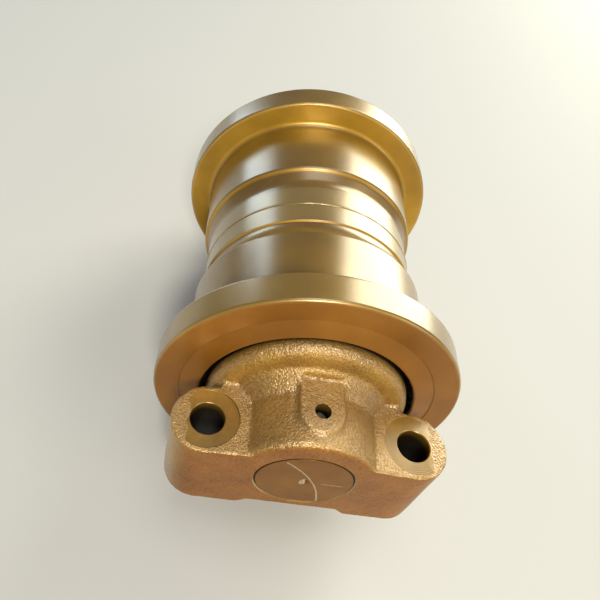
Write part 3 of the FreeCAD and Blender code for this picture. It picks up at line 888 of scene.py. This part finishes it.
shellPaint = makeShellPaint()
castPaint = makeCastPaint()
machinedPaint = makeMachinedPaint()
print("paints made")

rearHalf = makeShellHalf()
frontHalf = turnedTwin(rearHalf, "shellHalfFront")
bead = makeWeldBead()
for piece in (rearHalf, frontHalf, bead):
    giveMaterial(piece, shellPaint)
addPiece(rearHalf, "roller", "shell_half_rear")
addPiece(frontHalf, "roller", "shell_half_front")
addPiece(bead, "roller", "weld_seam")
print("shell turned")

rearCollar = makeCollar(castPaint, machinedPaint)
frontCollar = turnedTwin(rearCollar, "collarFrontCasting")
addPiece(rearCollar, "mount", "collar_rear")
addPiece(frontCollar, "mount", "collar_front")
print("collars cast and machined")

# dark colour, pale colour, roughness, scale of the lines in X, Y and Z
bareMetals = {
    "bushBronze": ((0.50, 0.30, 0.12), (0.66, 0.44, 0.20), 0.34, (6, 1800, 6)),
    "lappedIron": ((0.30, 0.30, 0.31), (0.48, 0.48, 0.49), 0.26, (900, 900, 900)),
    "oiledPinSteel": ((0.16, 0.14, 0.12), (0.30, 0.27, 0.23), 0.4, (900, 900, 60)),
    "oiledPlugSteel": ((0.20, 0.13, 0.06), (0.34, 0.24, 0.11), 0.4, (700, 700, 700)),
}
metals = {}
for name, settings in bareMetals.items():
    metals[name] = makeBareMetal(name, *settings)
rubber = makeRubber()
nodeMaterials = {
    "shaft": makeShaftMetal(),
    "bush": metals["bushBronze"],
    "seal_ring": metals["lappedIron"],
    "toric": rubber,
    "shaft_ring": rubber,
    "lock_pin": metals["oiledPinSteel"],
    "oil_plug": metals["oiledPlugSteel"],
}
for name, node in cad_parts.items():
    for start, material in nodeMaterials.items():
        if name == start or name.startswith(start + "_"):
            giveMaterial(node, material)
print("inner pieces finished")

# floor, light and camera

floorSize = 8.0
clearSelection()
bpy.ops.mesh.primitive_plane_add(size=floorSize, location=(0, 0, cadLow.z))
floor = bpy.context.object
floor.name = "floor"
applyPlace(floor)
paleFloor = startMaterial("paleFloor", {
    "Base Color": (0.54, 0.54, 0.56, 1), "Roughness": 0.75, "Specular IOR Level": 0.2})[0]
giveMaterial(floor, paleFloor)

world = bpy.data.worlds.new("studio")
world.use_nodes = True
background = world.node_tree.nodes["Background"]
background.inputs["Color"].default_value = (0.96, 0.98, 1.0, 1)
background.inputs["Strength"].default_value = 0.17
bpy.context.scene.world = world

# bearing from +X towards +Y and height in degrees, distance, width, height in metres, watts, colour
softboxes = {
    "windowRight": (47, 25, 1.9, 1.0, 1.9, 45, (1.0, 0.98, 0.78)),
    "windowLeft": (128, 15, 1.9, 0.34, 0.9, 5, (0.72, 0.90, 1.0)),
    "frontLamp": (270, 42, 1.9, 0.35, 0.35, 30, (1.0, 0.94, 0.74)),
    "ceiling": (262, 84, 1.9, 1.0, 1.0, 10, (1.0, 0.98, 0.86)),
    "sideFill": (325, 22, 1.9, 1.1, 0.9, 7, (1.0, 0.98, 0.84)),
}


def addSoftbox(name, bearing, height, distance, width, tall, watts, colour):
    light = bpy.data.lights.new(name, "AREA")
    light.color = colour
    light.shape = "RECTANGLE"
    light.size = width
    light.size_y = tall
    light.energy = watts
    lamp = bpy.data.objects.new(name, light)
    bpy.context.scene.collection.objects.link(lamp)
    lamp.visible_camera = False
    bearing, height = math.radians(bearing), math.radians(height)
    flat = math.cos(height)
    away = Vector((math.cos(bearing) * flat, math.sin(bearing) * flat, math.sin(height)))
    facing = away.to_track_quat("Z", "Y").to_matrix().to_4x4()
    lamp.matrix_world = Matrix.Translation(away * distance) @ facing


for name, settings in softboxes.items():
    addSoftbox(name, *settings)

# yaw from +Y towards +X, pitch downwards and roll, in degrees
view = {
    "place": (-0.0656, -0.2591, 0.2751),
    "yaw": 9.9,
    "pitch": 48.9,
    "roll": 16.6,
    "lens": 35.76,
    "shift": 0.056,
}
yaw, pitch, roll = (math.radians(view[key]) for key in ("yaw", "pitch", "roll"))
ahead = Vector((math.sin(yaw) * math.cos(pitch), math.cos(yaw) * math.cos(pitch), -math.sin(pitch)))
level = Vector((math.cos(yaw), -math.sin(yaw), 0))
upright = level.cross(ahead)
right = math.cos(roll) * level + math.sin(roll) * upright
up = math.cos(roll) * upright - math.sin(roll) * level
camera = bpy.data.objects.new("camera", bpy.data.cameras.new("camera"))
bpy.context.scene.collection.objects.link(camera)
camera.data.lens = view["lens"]
camera.data.sensor_width = 36
camera.data.shift_x = view["shift"]
camera.data.clip_start = 0.01
turn = Matrix((right, up, -ahead)).transposed().to_4x4()
camera.matrix_world = Matrix.Translation(view["place"]) @ turn
bpy.context.scene.camera = camera
bpy.context.scene.view_settings.view_transform = "Standard"
print("floor, light and camera placed")
